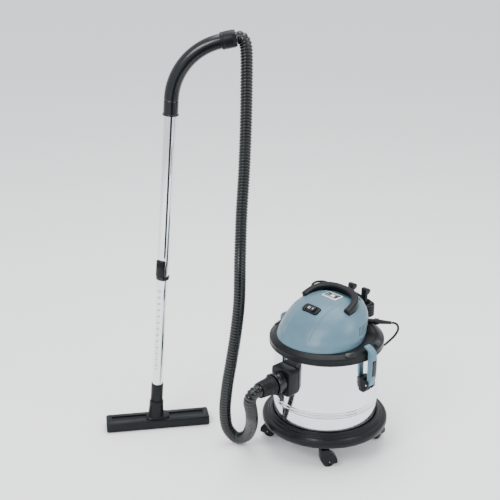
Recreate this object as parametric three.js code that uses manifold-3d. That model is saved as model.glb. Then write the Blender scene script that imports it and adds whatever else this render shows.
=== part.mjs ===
// Wet and dry shop vacuum: a steel drum on a caster dolly, a lift-off motor head with two side latches,
// a ribbed hose and a telescopic wand with a floor nozzle. Millimetres, +Z up.
// The vacuum is drawn in its own frame (front along -Y) and turned about Z; the wand has a frame along its tube.
import * as THREE from 'three';
import { mergeVertices } from 'three/addons/utils/BufferGeometryUtils.js';
import Module from 'manifold-3d';

const wasm = await Module();
wasm.setup();

const GAP = 0.3;                       // clearance between touching pieces
const VACUUM_YAW = THREE.MathUtils.degToRad(-48);
const ORIGIN_SHIFT = [235.26, 1.3];    // moves the footprint's centre to the origin

// drum and dolly
const DRUM_R = 150;
const DRUM_WALL = 1.2;
const DRUM_FLOOR_Z = 88.3;
const DRUM_TOP_Z = 327;
const BASE_R = 183;
const BASE_INNER_R = 112;
const CASTER_CIRCLE_R = 152;
const CASTER_COUNT = 4;
const WHEEL_R = 20;
const WHEEL_TRAIL = 10;
const AXLE_R = 2;

// head
const LID_R = 164;
const LID_TOP_Z = 348;
const HEAD_OFFSET_Y = -12;             // the motor and filter sit forward of the drum's axis
const COVER_HALF_WIDTH = 126;
const COVER_HALF_LENGTH = 121;
const COVER_HEIGHT = 106;
const COVER_FOOT_Y = -27;
const COVER_LEAN = 55;                 // how far the cover's top sits behind its foot
const COVER_WALL = 2.6;
const COVER_POWER = 2.8;               // superellipse power of the cover's side profile
const SCOOP = { y: 60, z: 446, r: 22, reach: 56 };      // finger recess under the carry handle
const HANDLE = { halfWidth: 92, reach: 82, band: 19, foot: 6, thickness: 22, tilt: 19, y: -6, z: 438 };
const LOUVRE_Y = 4;                    // the front louvre

// inlet
const INLET_Z = 254;
const INLET_BORE_R = 20;
const CUFF_END_Y = -262;

// latches
const LATCH_PIVOT_R = 169;
const LATCH_PIVOT_Z = 248;
const LATCH_PIN_R = 2.5;

// wand
const WAND_FOOT = [-508, 79];          // where the tube's axis meets the floor
const WAND_LEAN = THREE.MathUtils.degToRad(4.36);
const UPPER_TUBE_R = 17.5;
const HANDLE_BORE_R = 18.4;            // clears the tube between the flats of the bore's facets
const LOWER_TUBE_R = 15.2;
const TUBE_WALL = 1;
const SLEEVE_TOP = 141;
const TUBE_JOINT = 488;                // lower end of the upper tube
const HANDLE_FOOT = 962;
const HANDLE_BEND = 1006;
const HANDLE_BEND_R = 172;
const HANDLE_TURN = THREE.MathUtils.degToRad(73.6);
const COLLAR_LENGTH = 41;
const SLIDER_ANGLE = THREE.MathUtils.degToRad(-114);
const DETENTS = 14;
const DETENT_PITCH = 20;
const NOZZLE_YAW = THREE.MathUtils.degToRad(9.6);
const NOZZLE = { length: 311, depth: 64, height: 27 };
const HANK_X = -26.25;                 // middle of the stored cord, behind the head
const HANK_Y = 156;
const HANK_RUN = 52.5;                 // from one cord hook to the other
const HANK_OUTER_R = 31.8;
const HANK_INNER_R = 17.2;
const HANK_FLOOR = 353.5;
const HANK_HEIGHT = 44;

// hose and mains cord
const HOSE_R = 18;
const CORD_R = 3.5;

const COLOURS = {
  blackPlastic: [0x23282d, 0.5, 0],
  bluePlastic: [0x7b9bae, 0.45, 0],
  steel: [0xdce4e6, 0.15, 1],
  chrome: [0xe8eaec, 0.08, 1],
  rubber: [0x141a1c, 0.7, 0],
  label: [0xe6e8e8, 0.5, 0],
  foam: [0x3a3f42, 0.95, 0],
  motor: [0x8d9194, 0.4, 0.8],
  copper: [0xa8683c, 0.4, 0.8],
};

// ---------- geometry helpers ----------

function signedVolume(position, index) {
  const a = new THREE.Vector3();
  const b = new THREE.Vector3();
  const c = new THREE.Vector3();
  let volume = 0;
  for (let i = 0; i < index.length; i += 3) {
    a.fromArray(position, index[i] * 3);
    b.fromArray(position, index[i + 1] * 3);
    c.fromArray(position, index[i + 2] * 3);
    volume += a.dot(b.cross(c)) / 6;
  }
  return volume;
}

// a manifold solid of a closed geometry, turned outside out where its faces point in
function solid(geometry) {
  const bare = geometry.clone();
  bare.deleteAttribute('normal');
  bare.deleteAttribute('uv');
  const merged = mergeVertices(bare, 1e-3);
  const corners = [];
  const source = merged.index.array;
  for (let i = 0; i < source.length; i += 3) {
    const [a, b, c] = [source[i], source[i + 1], source[i + 2]];
    if (a !== b && b !== c && c !== a) corners.push(a, b, c);
  }
  const position = merged.attributes.position.array;
  if (signedVolume(position, corners) < 0) {
    for (let i = 0; i < corners.length; i += 3) {
      [corners[i + 1], corners[i + 2]] = [corners[i + 2], corners[i + 1]];
    }
  }
  const vertProperties = new Float32Array(position);
  return new wasm.Manifold(new wasm.Mesh({ numProp: 3, vertProperties, triVerts: new Uint32Array(corners) }));
}

function geometryOf(manifold) {
  const mesh = manifold.getMesh();
  const geometry = new THREE.BufferGeometry();
  geometry.setAttribute('position', new THREE.BufferAttribute(new Float32Array(mesh.vertProperties), 3));
  geometry.setIndex(new THREE.BufferAttribute(new Uint32Array(mesh.triVerts), 1));
  geometry.computeVertexNormals();
  return geometry;
}

function join(first, ...others) {
  return geometryOf(others.reduce((body, other) => body.add(solid(other)), solid(first)));
}

function cut(first, ...others) {
  return geometryOf(others.reduce((body, other) => body.subtract(solid(other)), solid(first)));
}

function common(first, second) {
  return geometryOf(solid(first).intersect(solid(second)));
}

// a solid of revolution about Z from [radius, height] pairs; a profile off the axis is closed on itself
function turned(profile, sides = 48) {
  const points = profile.map(([radius, height]) => new THREE.Vector2(radius, height));
  const touchesAxis = profile[0][0] === 0 && profile[profile.length - 1][0] === 0;
  if (!touchesAxis) points.push(points[0].clone());
  return new THREE.LatheGeometry(points, sides).rotateX(Math.PI / 2);
}

function tubeBetween(outerR, innerR, low, high, sides = 24) {
  return turned([[innerR, low], [outerR, low], [outerR, high], [innerR, high]], sides);
}

function rod(radius, low, high, sides = 16) {
  return turned([[0, low], [radius, low], [radius, high], [0, high]], sides);
}

function block(width, depth, height, x = 0, y = 0, z = 0) {
  return new THREE.BoxGeometry(width, depth, height).translate(x, y, z);
}

function roundedRectangle(width, height, radius) {
  const [x, y] = [width / 2 - radius, height / 2 - radius];
  const shape = new THREE.Shape();
  shape.absarc(x, y, radius, 0, Math.PI / 2);
  shape.absarc(-x, y, radius, Math.PI / 2, Math.PI);
  shape.absarc(-x, -y, radius, Math.PI, 1.5 * Math.PI);
  shape.absarc(x, -y, radius, 1.5 * Math.PI, 2 * Math.PI);
  return shape;
}

function outline(points) {
  return new THREE.Shape(points.map(([x, y]) => new THREE.Vector2(x, y)));
}

// a flat outline raised along +Z, with an optional chamfer inside its size
function raised(shape, height, chamfer = 0, curveSegments = 4) {
  const geometry = new THREE.ExtrudeGeometry(shape, {
    depth: height - 2 * chamfer,
    curveSegments,
    bevelEnabled: chamfer > 0,
    bevelThickness: chamfer,
    bevelSize: chamfer,
    bevelOffset: -chamfer,
    bevelSegments: 1,
  });
  return geometry.translate(0, 0, chamfer);
}

function roundSection(radius, sides) {
  const section = new THREE.Shape();
  for (let i = 0; i < sides; i += 1) {
    const angle = (2 * Math.PI * i) / sides;
    const [x, y] = [radius * Math.cos(angle), radius * Math.sin(angle)];
    if (i === 0) section.moveTo(x, y);
    else section.lineTo(x, y);
  }
  section.closePath();
  return section;
}

function sweptTube(points, radius, sides, steps) {
  const curve = new THREE.CatmullRomCurve3(points.map((p) => new THREE.Vector3(...p)), false, 'centripetal');
  const settings = { steps, extrudePath: curve, bevelEnabled: false };
  return new THREE.ExtrudeGeometry(roundSection(radius, sides), settings);
}

function node(name, geometry, look, parent) {
  const [color, roughness, metalness] = COLOURS[look];
  const material = new THREE.MeshStandardMaterial({ color, roughness, metalness });
  const mesh = new THREE.Mesh(geometryOf(solid(geometry)), material);
  mesh.name = name;
  parent.add(mesh);
  return mesh;
}

function frameAt(parent, position, rotation = [0, 0, 0]) {
  const group = new THREE.Group();
  group.position.set(...position);
  group.rotation.set(...rotation);
  parent.add(group);
  return group;
}

// ---------- dolly ----------

function casterAngle(i) {
  return -Math.PI / 4 + (2 * Math.PI * i) / CASTER_COUNT;
}

function addBase(parent) {
  const ring = turned([
    [BASE_INNER_R, 78], [172.5, 78], [173, 73.5], [176, 72], [180.5, 73.5], [BASE_R, 79], [BASE_R, 86],
    [181.5, 91], [177, 94.5], [171, 95], [167, 95.8], [166, 99.5], [159.5, 101], [158.5, 106.5],
    [154.5, 108], [151.6, 107], [151, 88], [BASE_INNER_R, 88],
  ], 40);
  const sockets = [];
  for (let i = 0; i < CASTER_COUNT; i += 1) {
    const angle = casterAngle(i);
    const socket = rod(5.4, 70, 84.5, 16);
    sockets.push(socket.translate(CASTER_CIRCLE_R * Math.cos(angle), CASTER_CIRCLE_R * Math.sin(angle), 0));
  }
  node('base_ring', cut(ring, ...sockets), 'blackPlastic', parent);
}

// the caster's frame has the swivel axis along Z and trails its wheel towards +X
function addCaster(parent, i) {
  const angle = casterAngle(i);
  const place = [CASTER_CIRCLE_R * Math.cos(angle), CASTER_CIRCLE_R * Math.sin(angle), 0];
  const caster = frameAt(parent, place, [0, 0, -VACUUM_YAW + (i === 0 ? 0.15 : 0.9 * i)]);
  const hoodR = WHEEL_R + 5;
  const side = new THREE.Shape();
  side.moveTo(WHEEL_TRAIL + hoodR, WHEEL_R - 6);
  side.absarc(WHEEL_TRAIL, WHEEL_R, hoodR, -0.25, Math.PI * 0.5, false);
  side.lineTo(WHEEL_TRAIL, 60);
  side.lineTo(-13, 60);
  side.lineTo(-16, 54);
  side.lineTo(-15, 26);
  side.lineTo(-4, 12);
  const hood = raised(side, 30, 2, 4).rotateX(Math.PI / 2).translate(0, 15, 0);
  const wheelRoom = rod(WHEEL_R + 1.6, -10, 10, 32).rotateX(Math.PI / 2).translate(WHEEL_TRAIL, 0, WHEEL_R);
  const below = block(2 * (WHEEL_R + 1.6), 20, 30, WHEEL_TRAIL, 0, WHEEL_R - 15);
  const axleHole = rod(AXLE_R + GAP, -16, 16, 12).rotateX(Math.PI / 2).translate(WHEEL_TRAIL, 0, WHEEL_R);
  const body = join(hood, rod(5, 58, 82, 16));
  node(`caster_fork_${i + 1}`, cut(body, wheelRoom, below, axleHole), 'blackPlastic', caster);
  const tyre = turned([
    [AXLE_R + GAP, -8.5], [8, -8.5], [9, -7], [WHEEL_R - 4, -7], [WHEEL_R - 3, -8.8], [WHEEL_R, -7],
    [WHEEL_R, 7], [WHEEL_R - 3, 8.8], [WHEEL_R - 4, 7], [9, 7], [8, 8.5], [AXLE_R + GAP, 8.5],
  ], 18).rotateX(Math.PI / 2);
  node(`caster_wheel_${i + 1}`, tyre, 'rubber', caster).position.set(WHEEL_TRAIL, 0, WHEEL_R);
  const axle = rod(AXLE_R, -15, 15, 12).rotateX(Math.PI / 2);
  node(`caster_axle_${i + 1}`, axle, 'steel', caster).position.set(WHEEL_TRAIL, 0, WHEEL_R);
}

// ---------- drum and inlet ----------

function bead(z) {
  return [[DRUM_R, z - 3.5], [DRUM_R + 1.3, z - 1.5], [DRUM_R + 1.3, z + 1.5], [DRUM_R, z + 3.5]];
}

function alongInlet(geometry) {
  return geometry.rotateX(Math.PI / 2).translate(0, 0, INLET_Z);
}

function addDrum(parent) {
  const inner = DRUM_R - DRUM_WALL;
  const shell = turned([
    [0, DRUM_FLOOR_Z], [DRUM_R - 4, DRUM_FLOOR_Z], [DRUM_R, DRUM_FLOOR_Z + 4], ...bead(154), ...bead(163.5),
    [DRUM_R, 318], [DRUM_R + 2.6, 320], [DRUM_R + 3, DRUM_TOP_Z - 2], [DRUM_R + 1, DRUM_TOP_Z],
    [inner, DRUM_TOP_Z - 1], [inner, DRUM_FLOOR_Z + 5], [inner - 4, DRUM_FLOOR_Z + 1.2], [0, DRUM_FLOOR_Z + 1.2],
  ], 40);
  const inletHole = alongInlet(rod(24.5, 120, 170, 24));
  node('drum_shell', cut(shell, inletHole), 'steel', parent);
}

function addInlet(parent) {
  const drumRoom = rod(DRUM_R + 1.6, 200, 320, 40);
  const face = raised(roundedRectangle(72, 80, 12), 40, 2).rotateX(Math.PI / 2).translate(0, -142, INLET_Z);
  const boss = alongInlet(rod(24.2, 150, 212, 20));
  const spigot = alongInlet(rod(24.2, 138, 160, 20));
  const bore = alongInlet(rod(INLET_BORE_R, 130, 220, 18));
  const flange = cut(join(face, boss), drumRoom);
  node('inlet_housing', cut(join(flange, spigot), bore), 'blackPlastic', parent);

  const hood = block(62, 26, 70, 0, -124.7, INLET_Z - 4);
  const hoodRoom = block(56, 22.6, 72, 0, -126.6, INLET_Z - 8);
  node('inlet_deflector', cut(hood, hoodRoom), 'blackPlastic', parent);

  const ring = alongInlet(tubeBetween(31, 24.5, 184, 210, 24));
  const dot = alongInlet(rod(3, 196, 211.2, 12)).translate(-22, 0, 19);
  const grips = [0, 2, 4].map((turn) => {
    const grip = block(12, 20, 5, 0, -196, INLET_Z + 31.5).translate(0, 0, -INLET_Z);
    return grip.rotateY(0.5 + (turn * Math.PI) / 3).translate(0, 0, INLET_Z);
  });
  node('inlet_lock_ring', join(ring, dot, ...grips), 'blackPlastic', parent);

  const cuff = turned([
    [16, 172], [19.7, 172], [19.7, 212.4], [27, 212.4], [27.5, 219], [24.5, 222], [24.5, 228], [23, 230.5],
    [24.2, 234], [24.2, 239], [22.5, 241], [23.6, 246], [22, 251],
    [22, -CUFF_END_Y], [16, -CUFF_END_Y],
  ], 18);
  node('hose_inlet_cuff', alongInlet(cuff), 'blackPlastic', parent);
}

// ---------- latches ----------

// a latch on the drum's side, drawn at +X: the lever swings out and down about the pin along Y
function addLatch(parent, side, turn) {
  const latch = frameAt(parent, [0, 0, 0], [0, 0, turn]);
  const plate = raised(roundedRectangle(34, 46, 6), 11, 1).rotateY(Math.PI / 2).rotateX(Math.PI / 2);
  const ear = raised(outline([[0, -20], [12, -18], [19, -8], [19, 8], [13, 12], [0, 14]]), 5);
  const ears = [-1, 1].map((end) => {
    const placed = ear.clone().rotateX(Math.PI / 2).translate(155, end * 13.5 + 2.5, LATCH_PIVOT_Z);
    return placed;
  });
  const drumRoom = rod(DRUM_R + GAP, 180, 300, 40);
  const pinHole = rod(LATCH_PIN_R + GAP, -20, 20, 14).rotateX(Math.PI / 2);
  pinHole.translate(LATCH_PIVOT_R, 0, LATCH_PIVOT_Z);
  const footing = plate.translate(148, 0, LATCH_PIVOT_Z - 4);
  const bracket = cut(join(footing, ...ears), drumRoom, pinHole);
  node(`latch_bracket_${side}`, bracket, 'blackPlastic', latch);

  const pin = rod(LATCH_PIN_R, -16.5, 16.5, 14).rotateX(Math.PI / 2);
  node(`latch_pin_${side}`, pin, 'steel', latch).position.set(LATCH_PIVOT_R, 0, LATCH_PIVOT_Z);

  const leverSide = outline([
    [-2.5, 8], [-5.5, 2], [-4, -4.5], [1, -6], [6, -3], [9, 8], [13, 22], [14, 60], [13.5, 84], [11, 97],
    [5, 104], [-3, 109.5], [-14, 113.2], [-18, 112.8], [-18.2, 109.6], [-13, 106.8], [-4.2, 101.6], [-3.2, 96],
    [-3.2, 40], [-3.2, 14],
  ]);
  const lever = raised(leverSide, 21, 1).rotateX(Math.PI / 2).translate(0, 10.5, 0);
  const ribCuts = [0, 1, 2, 3].map((i) => block(20, 1.6, 3, 2, -6 + 4 * i, 110).rotateY(0.32).translate(-35, 0, 5));
  const pinRoom = rod(LATCH_PIN_R + GAP, -20, 20, 14).rotateX(Math.PI / 2);
  const padRoom = block(6, 15.6, 47.6, 13, 0, 52);
  const leverBody = cut(lever, pinRoom, padRoom, ...ribCuts);
  node(`latch_lever_${side}`, leverBody, 'bluePlastic', latch).position.set(LATCH_PIVOT_R, 0, LATCH_PIVOT_Z);

  const oval = raised(roundedRectangle(46, 15, 7.4), 5, 1.5, 3).rotateY(Math.PI / 2);
  const pad = node(`latch_thumb_pad_${side}`, oval, 'blackPlastic', latch);
  pad.position.set(LATCH_PIVOT_R + 10.4, 0, LATCH_PIVOT_Z + 52);
}

// ---------- head ----------

function coverProfile(radius, height, floor, steps) {
  const profile = [[0, floor]];
  for (let i = 0; i <= steps; i += 1) {
    const angle = (Math.PI / 2) * (i / steps);
    const r = radius * Math.cos(angle) ** (2 / COVER_POWER);
    const z = height * Math.sin(angle) ** (2 / COVER_POWER);
    profile.push([i === steps ? 0 : r, LID_TOP_Z + GAP + z]);
  }
  return profile;
}

// leans a round shell backwards as it rises
function leaned(geometry, inset) {
  const position = geometry.attributes.position;
  for (let i = 0; i < position.count; i += 1) {
    const rise = Math.max(0, position.getZ(i) - LID_TOP_Z - GAP) / COVER_HEIGHT;
    position.setX(i, position.getX(i) * (COVER_HALF_WIDTH - inset));
    position.setY(i, position.getY(i) * (COVER_HALF_LENGTH - inset) + COVER_FOOT_Y + COVER_LEAN * rise);
  }
  geometry.computeVertexNormals();
  return geometry;
}

function addLid(parent) {
  const lid = turned([
    [97, 331], [156.5, 331], [156.5, 322], [158, 319], [161.5, 318.5], [LID_R, 321], [LID_R, 337],
    [162.5, 340], [150, LID_TOP_Z - 0.8], [146, LID_TOP_Z], [97, LID_TOP_Z],
  ], 40);
  node('lid', lid, 'blackPlastic', parent);
  node('lid_seal', tubeBetween(155, 140, DRUM_TOP_Z + GAP, 331 - GAP, 30), 'rubber', parent);
}

function handleArch(grow) {
  const arch = new THREE.Shape();
  const outer = [];
  const inner = [];
  const steps = 14;
  for (let i = 0; i <= steps; i += 1) {
    const angle = Math.PI * (i / steps);
    const c = Math.cos(angle);
    const s = Math.sin(angle);
    const x = Math.sign(c) * Math.abs(c) ** 0.8;
    const z = s ** 0.8;
    outer.push([(HANDLE.halfWidth + grow) * x, (HANDLE.reach + grow) * z]);
    inner.push([(HANDLE.halfWidth - HANDLE.band - grow) * x, (HANDLE.reach - HANDLE.band - grow) * z]);
  }
  const foot = -HANDLE.foot - grow;
  const [out, inn] = [HANDLE.halfWidth + grow, HANDLE.halfWidth - HANDLE.band - grow];
  const points = [...outer, [-out, foot], [-inn, foot], ...inner.reverse(), [inn, foot], [out, foot]];
  points.forEach(([x, z], i) => (i === 0 ? arch.moveTo(x, z) : arch.lineTo(x, z)));
  const thickness = HANDLE.thickness + 2 * grow;
  return raised(arch, thickness, grow > 0 ? 0 : 2).translate(0, 0, -thickness / 2)
    .rotateX(THREE.MathUtils.degToRad(HANDLE.tilt)).translate(0, HANDLE.y, HANDLE.z);
}

function switchFrame(parent) {
  return frameAt(parent, [0, -64, 436.2], [THREE.MathUtils.degToRad(24), 0, 0]);
}

function addHead(parent) {
  const bezelOutline = () => raised(roundedRectangle(58, 28, 9), 14, 1.5, 3);
  const bezelFrame = switchFrame(parent);
  bezelFrame.updateMatrix();
  const bezelRoom = raised(roundedRectangle(58.6, 28.6, 9), 40).translate(0, 0, -20).applyMatrix4(bezelFrame.matrix);
  const labelRoom = raised(roundedRectangle(52.6, 34.6, 3), 20).translate(0, 19, 452.2);

  const outside = leaned(turned(coverProfile(1, COVER_HEIGHT, LID_TOP_Z + GAP, 8), 36), 0);
  const inside = leaned(turned(coverProfile(1, COVER_HEIGHT - COVER_WALL, LID_TOP_Z - 2, 8), 36), COVER_WALL);
  const scoop = (grow) => rod(SCOOP.r + grow, -SCOOP.reach - grow, SCOOP.reach + grow, 18)
    .rotateY(Math.PI / 2).translate(0, SCOOP.y, SCOOP.z);
  const louvres = [];
  for (let i = 0; i < 9; i += 1) {
    louvres.push(block(40, 2, 26, 115, LOUVRE_Y + 7 * i, 386));
    louvres.push(block(40, 2, 26, -115, LOUVRE_Y + 7 * i, 386));
  }
  const glandRoom = glandShape(GAP);
  const shell = cut(cut(outside, scoop(0)), cut(inside, scoop(COVER_WALL)));
  const cover = cut(shell, handleArch(GAP), bezelRoom, labelRoom, glandRoom, ...louvres);
  node('head_cover', cover, 'bluePlastic', parent);
  node('carry_handle', handleArch(0), 'blackPlastic', parent);

  const labelPlate = raised(roundedRectangle(52, 34, 3), 3, 0.6, 2).translate(0, 19, 452.5);
  node('label_plate', labelPlate, 'label', parent);

  const bezel = cut(bezelOutline().translate(0, 0, -9), block(34, 18, 40));
  node('switch_bezel', bezel, 'blackPlastic', bezelFrame);
  const rockerSide = outline([[-16, 2], [-14.7, 6.8], [0, 4.6], [14.7, 9.8], [16, 5], [13, -3], [0, -8], [-13, -5]]);
  const rocker = raised(rockerSide, 17, 0).rotateX(Math.PI / 2).translate(0, 8.5, 0);
  node('rocker_switch', rocker, 'blackPlastic', bezelFrame);
}

const GLAND = { place: [64.5, 107.4, 371], direction: [0.72, 0.69, -0.06], length: 64 };

function glandMatrix() {
  const direction = new THREE.Vector3(...GLAND.direction).normalize();
  const turn = new THREE.Quaternion().setFromUnitVectors(new THREE.Vector3(0, 0, 1), direction);
  return new THREE.Matrix4().compose(new THREE.Vector3(...GLAND.place), turn, new THREE.Vector3(1, 1, 1));
}

function glandShape(grow) {
  const profile = [
    [0, -27 - grow], [7.5 + grow, -27 - grow], [7.5 + grow, 14], [9.5, 15], [9.5, 27], [7, 28.5], [6.6, 33],
    [5, GLAND.length - 2], [4.2, GLAND.length], [0, GLAND.length],
  ];
  return turned(profile, 14).applyMatrix4(glandMatrix());
}

function addCordRack(parent) {
  node('cord_gland', glandShape(0), 'blackPlastic', parent);
  for (const [side, x] of [['left', HANK_X - HANK_RUN / 2], ['right', HANK_X + HANK_RUN / 2]]) {
    const hookSide = outline([
      [139, 348.4], [150, 348.4], [153, 346], [161.5, 346], [161.5, 418], [169.5, 421], [173.5, 427], [172.5, 433],
      [164.5, 438], [156.5, 440], [151.5, 438], [150.5, 432], [150.5, 353], [139, 353],
    ]);
    const hook = raised(hookSide, 18, 1).rotateX(Math.PI / 2).rotateZ(Math.PI / 2).translate(x - 9, 0, 0);
    node(`cord_hook_${side}`, hook, 'blackPlastic', parent);
  }
}

// ---------- inside the head ----------

function addMotor(parent) {
  const y = HEAD_OFFSET_Y;
  const unit = frameAt(parent, [0, y, 0]);
  const fan = turned([
    [22, 348.6], [84, 348.6], [84, 352], [78, 353], [78, 372], [74, 376], [36, 376], [36, 373], [71, 373],
    [75, 370], [75, 356], [22, 356],
  ], 22);
  node('fan_housing', fan, 'motor', unit);
  node('impeller', turned([[4.4, 358], [70, 358], [70, 360], [30, 367], [12, 370], [4.4, 370]], 20), 'motor', unit);
  const can = turned([
    [40, 376.4], [40, 420], [37, 424], [10, 424], [10, 421.5], [36, 421.5], [37.6, 419], [37.6, 376.4],
  ], 20);
  node('motor_can', can, 'motor', unit);
  const rotor = turned([
    [0, 352], [4, 352], [4, 382], [24, 382], [24, 408], [12, 410], [12, 416], [4, 416], [4, 428], [0, 428],
  ], 16);
  node('motor_rotor', rotor, 'copper', unit);
}

function addFilter(parent) {
  const y = HEAD_OFFSET_Y;
  const unit = frameAt(parent, [0, y, 0]);
  const cage = turned([
    [58, 348], [80, 348], [80, 331], [60, 328], [60, 232], [56, 228], [30, 228], [30, 231], [55, 231],
    [57, 234], [57, 330], [58, 332],
  ], 24);
  const windows = [];
  for (let i = 0; i < 6; i += 1) {
    windows.push(block(30, 34, 72, 60, 0, 280).rotateZ((i * Math.PI) / 3));
  }
  node('filter_cage', cut(cage, ...windows), 'blackPlastic', unit);
  const sleeve = turned([[61, 234], [72, 234], [72, 322], [61, 322]], 24);
  node('foam_filter', sleeve, 'foam', unit);
  const float = turned([[0, 240], [16, 240], [22, 246], [22, 268], [14, 280], [0, 282]], 16);
  node('float_cup', float, 'label', unit);
}

// ---------- wand ----------

class HandleCurve extends THREE.Curve {
  getPoint(t, target = new THREE.Vector3()) {
    const straight = HANDLE_BEND - HANDLE_FOOT;
    const total = straight + HANDLE_BEND_R * HANDLE_TURN;
    const s = t * total;
    if (s <= straight) return target.set(0, 0, HANDLE_FOOT + s);
    const angle = (s - straight) / HANDLE_BEND_R;
    const x = HANDLE_BEND_R * (1 - Math.cos(angle));
    return target.set(x, 0, HANDLE_BEND + HANDLE_BEND_R * Math.sin(angle));
  }
}

function handleEndMatrix() {
  const x = HANDLE_BEND_R * (1 - Math.cos(HANDLE_TURN));
  const z = HANDLE_BEND + HANDLE_BEND_R * Math.sin(HANDLE_TURN);
  return new THREE.Matrix4().makeTranslation(x, 0, z).multiply(new THREE.Matrix4().makeRotationY(HANDLE_TURN));
}

function addHandle(wand) {
  const section = roundSection(20.5, 14);
  section.holes.push(roundSection(HANDLE_BORE_R, 14));
  const pipe = new THREE.ExtrudeGeometry(section, { steps: 16, extrudePath: new HandleCurve(), bevelEnabled: false });
  const flange = tubeBetween(22.5, HANDLE_BORE_R, HANDLE_FOOT, HANDLE_FOOT + 5, 14);
  node('bent_handle', join(pipe, flange), 'blackPlastic', wand);

  const collar = turned([
    [15, -14], [17.2, -14], [17.2, GAP], [23.5, GAP], [24, 4], [24, 34], [22.5, COLLAR_LENGTH],
    [15, COLLAR_LENGTH],
  ], 18).applyMatrix4(handleEndMatrix());
  node('hose_handle_collar', collar, 'blackPlastic', wand);
}

function addTubes(wand) {
  const upperInner = UPPER_TUBE_R - TUBE_WALL;
  node('upper_tube', tubeBetween(UPPER_TUBE_R, upperInner, TUBE_JOINT, 1000, 20), 'chrome', wand);
  const ring = turned([
    [LOWER_TUBE_R + GAP, 480], [18, 480], [19.5, 482], [19.5, 492], [UPPER_TUBE_R + GAP, 492],
    [UPPER_TUBE_R + GAP, TUBE_JOINT - GAP], [LOWER_TUBE_R + GAP, TUBE_JOINT - GAP],
  ], 20);
  node('tube_end_ring', ring, 'blackPlastic', wand);

  const slots = [];
  for (let i = 0; i < DETENTS; i += 1) {
    const slot = block(6, 7, 9, LOWER_TUBE_R, 0, 190 + DETENT_PITCH * i).rotateZ(SLIDER_ANGLE);
    slots.push(slot);
  }
  const lower = tubeBetween(LOWER_TUBE_R, LOWER_TUBE_R - TUBE_WALL, 96, 552, 20);
  node('lower_tube', cut(lower, ...slots), 'chrome', wand);

  const arc = tubeBetween(22.4, UPPER_TUBE_R + GAP, 494, 540, 20);
  const window = block(30, 27, 60, 22, 0, 517).rotateZ(SLIDER_ANGLE);
  const thumb = block(5, 16, 12, 22.5, 0, 524).rotateZ(SLIDER_ANGLE);
  node('lock_slider', join(common(arc, window), thumb), 'blackPlastic', wand);
}

function addNozzle(wand) {
  const neck = turned([
    [LOWER_TUBE_R + GAP, 97], [LOWER_TUBE_R + GAP, SLEEVE_TOP], [18.2, SLEEVE_TOP], [18.2, 86.5], [16, 86.5],
    [16, 60], [13, 60], [13, 93], [LOWER_TUBE_R + GAP, 93],
  ], 20);
  node('nozzle_neck', neck, 'blackPlastic', wand);

  // the body is flat on the floor, so it is drawn upright and turned back into the leaning frame
  const upright = new THREE.Matrix4().makeRotationY(-WAND_LEAN);
  const flat = (geometry) => geometry.rotateZ(NOZZLE_YAW).translate(8, -1.5, 0).applyMatrix4(upright);
  const { length, depth, height } = NOZZLE;
  const shell = flat(raised(roundedRectangle(length, depth, 7), height, 2.5).translate(0, 0, 2));
  const slot = flat(block(length - 20, 16, 16, 0, 0, 8));
  const strips = [-1, 1].map((side) => flat(block(length - 24, 5.6, 9, 0, side * (depth / 2 - 9), 4.5)));
  const recesses = [-1, 1].map((side) => flat(block(104, 32, 14, side * 86, 0, 32)));
  const web = flat(raised(roundedRectangle(78, 48, 20), 12, 4).translate(0, 0, 24));
  const collar = turned([[0, 20], [25, 20], [23, 44], [21.2, 70], [21.2, 80], [19.6, 85.8], [0, 85.8]], 20);
  const neckRoom = rod(16 + GAP, 59, 90, 20);
  const airway = rod(12, 8, 70, 12);
  const body = cut(join(shell, web, collar), slot, ...strips, ...recesses, neckRoom, airway);
  node('nozzle_body', body, 'blackPlastic', wand);
  for (const [name, side] of [['nozzle_strip_front', -1], ['nozzle_strip_rear', 1]]) {
    const strip = block(length - 24.6, 5, 8.2, 0, side * (depth / 2 - 9), 4.1);
    node(name, flat(strip), 'rubber', wand);
  }
}

// ---------- hose and mains cord ----------

// centre line of the hose from the handle's collar down to the floor and up to the inlet cuff
const HOSE_ROUTE = [
  [-254.8, 79, 1167], [-247, 79, 1168.7], [-238.5, 79, 1164.5], [-232, 79, 1153], [-229, 79, 1136],
  [-228, 79, 1100], [-228.5, 77, 1040], [-230, 73, 950], [-235, 62, 815], [-243, 45, 682], [-247, 30, 559],
  [-250, 15, 434], [-260, 4, 340], [-272, -5, 262], [-286, -14, 175], [-292, -21, 98], [-284, -27, 47],
  [-258, -33, 20.5], [-231, -52, 38], [-217, -84, 84], [-214, -118, 130], [-215, -150, 172],
  [-218, -176, 205], [-220, -191, 230], [-214, -192.6, 248], [-204.4, -184, 254], [-195.4, -176, 254],
];

// the mains cord from the gland, down behind the drum, up in one loose loop and onto the hooks
const CORD_ROUTE = [
  [187.4, 19.3, 367.1], [195.4, 18.7, 366.6], [203.5, 18.5, 361], [207, 20, 347], [200, 25, 326], [186, 36, 302],
  [172, 58, 276], [156, 92, 254], [132, 130, 240], [98, 160, 240], [62, 178, 256], [26, 188, 290],
  [-4, 190, 336], [-26, 184, 384], [-34, 172, 418], [-24, 158, 436], [-4, 154, 440], [16, 164, 430],
  [36, 180, 412], [57.9, 187.5, 402.5], [75.8, 176.4, 402.2], [90, 164.5, 402],
];

// the cord's far end, from the hank to the hanging plug, in the vacuum's frame
const TAIL_ROUTE = [
  [-52, 191.9, 386], [-38, 192.3, 385], [-27, 196.5, 382], [-24, 203, 378], [-30, 208.5, 373], [-42, 209.5, 368],
  [-54, 208, 362], [-60, 207, 355], [-60, 207, 349],
];
const PLUG_TOP = [-60, 207, 348.4];

function addHose(parent) {
  node('suction_hose', sweptTube(HOSE_ROUTE, HOSE_R, 8, 56), 'rubber', parent);
}

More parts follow.
